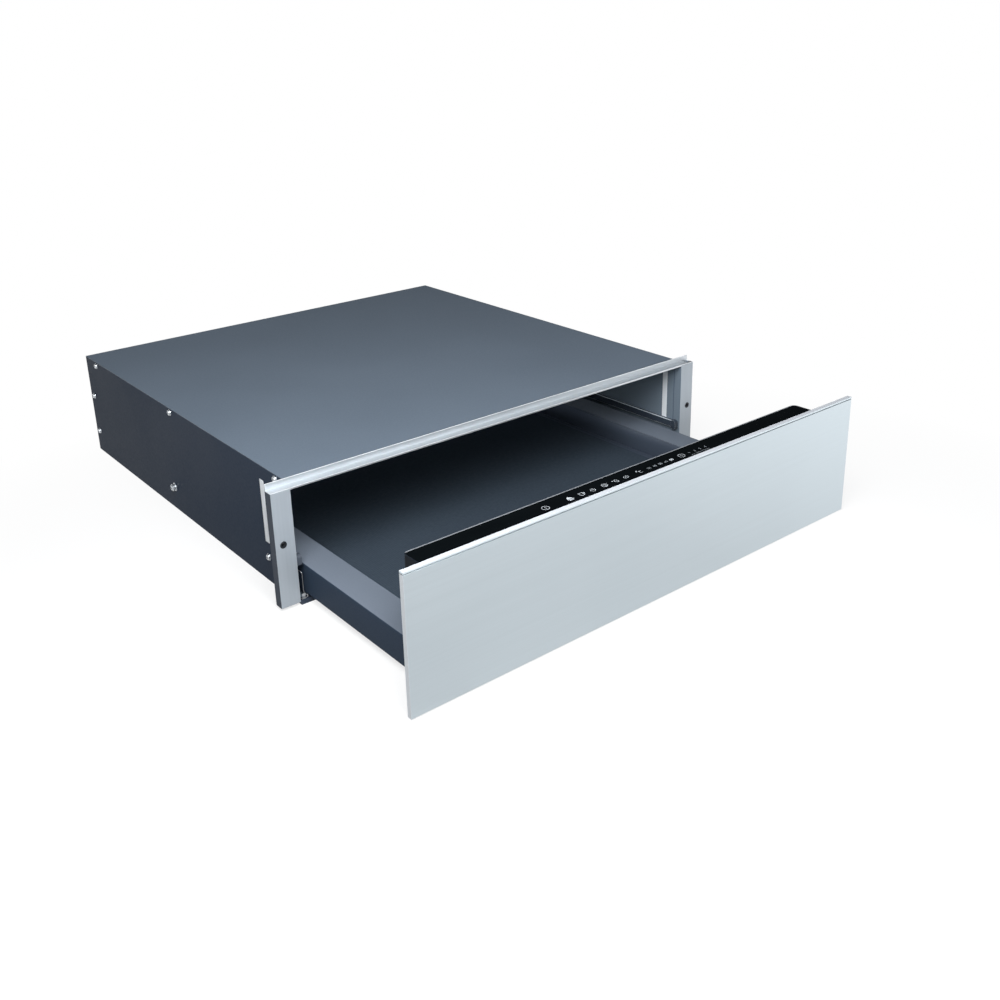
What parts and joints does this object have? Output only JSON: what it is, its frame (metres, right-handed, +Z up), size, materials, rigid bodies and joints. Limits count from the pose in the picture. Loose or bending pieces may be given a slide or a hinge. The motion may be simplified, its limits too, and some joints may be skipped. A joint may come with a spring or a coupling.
{
  "type": "built in warming drawer",
  "caption": "Low built in warming drawer with brushed front, touch glass behind it, full extension slides, fan heater and push to open latch",
  "frame": {"origin": "on the underside of the base, mid width, in the plane where the frame meets the cabinet's front edges", "axes": "+X to the right as seen from the front, +Y to the rear, +Z up; rest is the pictured pose, drawn out 217 mm"},
  "size_m": [0.595, 0.7784, 0.138],
  "materials": {
    "housing_paint": "dark blue grey powder coat, satin",
    "frame_steel": "brushed, satin",
    "front_steel": "fine horizontal brushing, satin",
    "trim_steel": "finely polished edge",
    "zinc_steel": "bright zinc plate",
    "rim_paint": "grey powder coat, satin",
    "tray_paint": "dark powder coat, satin",
    "inner_dark": "dark enamel",
    "black_glass": "black printed glass, gloss",
    "mat_rubber": "matt, finely structured",
    "black_plastic": "matt",
    "white_plastic": "matt",
    "plate_steel": "galvanised sheet",
    "insulation_felt": "mineral felt",
    "heater_tube": "oxidised steel tube",
    "fan_aluminium": "pressed sheet",
    "motor_steel": "laminated electrical steel",
    "winding_copper": "enamelled copper wire",
    "board_green": "circuit board with solder resist",
    "wire_sleeve": "woven glass sleeve",
    "core_board": "mill finish",
    "magnet_black": "ferrite"
  },
  "bodies": {
    "housing": {"top_cover": "housing_paint", "side_panel_left": "housing_paint", "side_panel_right": "housing_paint", "base_pan": "housing_paint", "rear_panel": "housing_paint", "insulation": "insulation_felt", "ceiling_liner": "inner_dark", "housing_screws": "zinc_steel", "frame_stile_left": "frame_steel", "frame_stile_right": "frame_steel", "top_rail": "frame_steel", "bottom_rail": "housing_paint", "slot_strips": "trim_steel", "guide_strips": "black_plastic", "guide_clips": "zinc_steel", "slide_bracket_left": "zinc_steel", "slide_bracket_right": "zinc_steel", "slide_outer_left": "zinc_steel", "slide_outer_right": "zinc_steel", "air_baffle": "inner_dark", "chamber_plate": "plate_steel", "heater_ring": "heater_tube", "motor_stack": "motor_steel", "motor_coil": "winding_copper", "motor_brackets": "zinc_steel", "motor_screws": "zinc_steel", "thermal_cutout": "black_plastic", "temperature_probe": "plate_steel", "power_board": "board_green", "terminal_block": "white_plastic", "cable_gland": "black_plastic", "housing_loom": "wire_sleeve", "latch_case": "black_plastic", "reed_switch": "black_plastic"},
    "drawer": {"front_skin": "front_steel", "front_core": "core_board", "top_trim": "trim_steel", "control_box": "inner_dark", "touch_glass": "black_glass", "glass_bezel": "trim_steel", "touch_board": "board_green", "tray_pan": "tray_paint", "side_rim_left": "rim_paint", "side_rim_right": "rim_paint", "anti_slip_mat": "mat_rubber", "tray_screws": "zinc_steel", "latch_striker": "zinc_steel", "switch_magnet": "magnet_black", "slide_inner_left": "zinc_steel", "slide_inner_right": "zinc_steel"},
    "slide_middle_left": {"slide_middle_left": "zinc_steel"},
    "outer_cage_left": {"outer_cage_left": "zinc_steel"},
    "inner_cage_left": {"inner_cage_left": "zinc_steel"},
    "slide_middle_right": {"slide_middle_right": "zinc_steel"},
    "outer_cage_right": {"outer_cage_right": "zinc_steel"},
    "inner_cage_right": {"inner_cage_right": "zinc_steel"},
    "fan": {"fan_wheel": "fan_aluminium", "motor_rotor": "motor_steel"},
    "latch_plunger": {"latch_plunger": "white_plastic", "latch_spring": "zinc_steel"}
  },
  "joints": [
    {"name": "drawer_slide", "type": "slide", "parent": "housing", "child": "drawer", "axis": [0, -1, 0], "range_m": [-0.217, 0.203]},
    {"name": "slide_middle_left_travel", "type": "slide", "parent": "housing", "child": "slide_middle_left", "axis": [0, -1, 0], "range_m": [-0.109, 0.102]},
    {"name": "outer_cage_left_travel", "type": "slide", "parent": "housing", "child": "outer_cage_left", "axis": [0, -1, 0], "range_m": [-0.055, 0.051]},
    {"name": "inner_cage_left_travel", "type": "slide", "parent": "housing", "child": "inner_cage_left", "axis": [0, -1, 0], "range_m": [-0.163, 0.153]},
    {"name": "slide_middle_right_travel", "type": "slide", "parent": "housing", "child": "slide_middle_right", "axis": [0, -1, 0], "range_m": [-0.109, 0.102]},
    {"name": "outer_cage_right_travel", "type": "slide", "parent": "housing", "child": "outer_cage_right", "axis": [0, -1, 0], "range_m": [-0.055, 0.051]},
    {"name": "inner_cage_right_travel", "type": "slide", "parent": "housing", "child": "inner_cage_right", "axis": [0, -1, 0], "range_m": [-0.163, 0.153]},
    {"name": "fan_spin", "type": "hinge", "parent": "housing", "child": "fan", "pos_m": [0, 0.49, 0.0626], "axis": [0, 1, 0], "continuous": true},
    {"name": "latch_press", "type": "slide", "parent": "housing", "child": "latch_plunger", "axis": [0, 1, 0], "range_m": [0, 0.005], "stiffness_N_per_m": 600, "springref_m": -0.006}
  ],
  "couplings": [
    {"joint": "slide_middle_left_travel", "follows": "drawer_slide", "ratio": 0.5},
    {"joint": "outer_cage_left_travel", "follows": "drawer_slide", "ratio": 0.25},
    {"joint": "inner_cage_left_travel", "follows": "drawer_slide", "ratio": 0.75},
    {"joint": "slide_middle_right_travel", "follows": "drawer_slide", "ratio": 0.5},
    {"joint": "outer_cage_right_travel", "follows": "drawer_slide", "ratio": 0.25},
    {"joint": "inner_cage_right_travel", "follows": "drawer_slide", "ratio": 0.75}
  ]
}
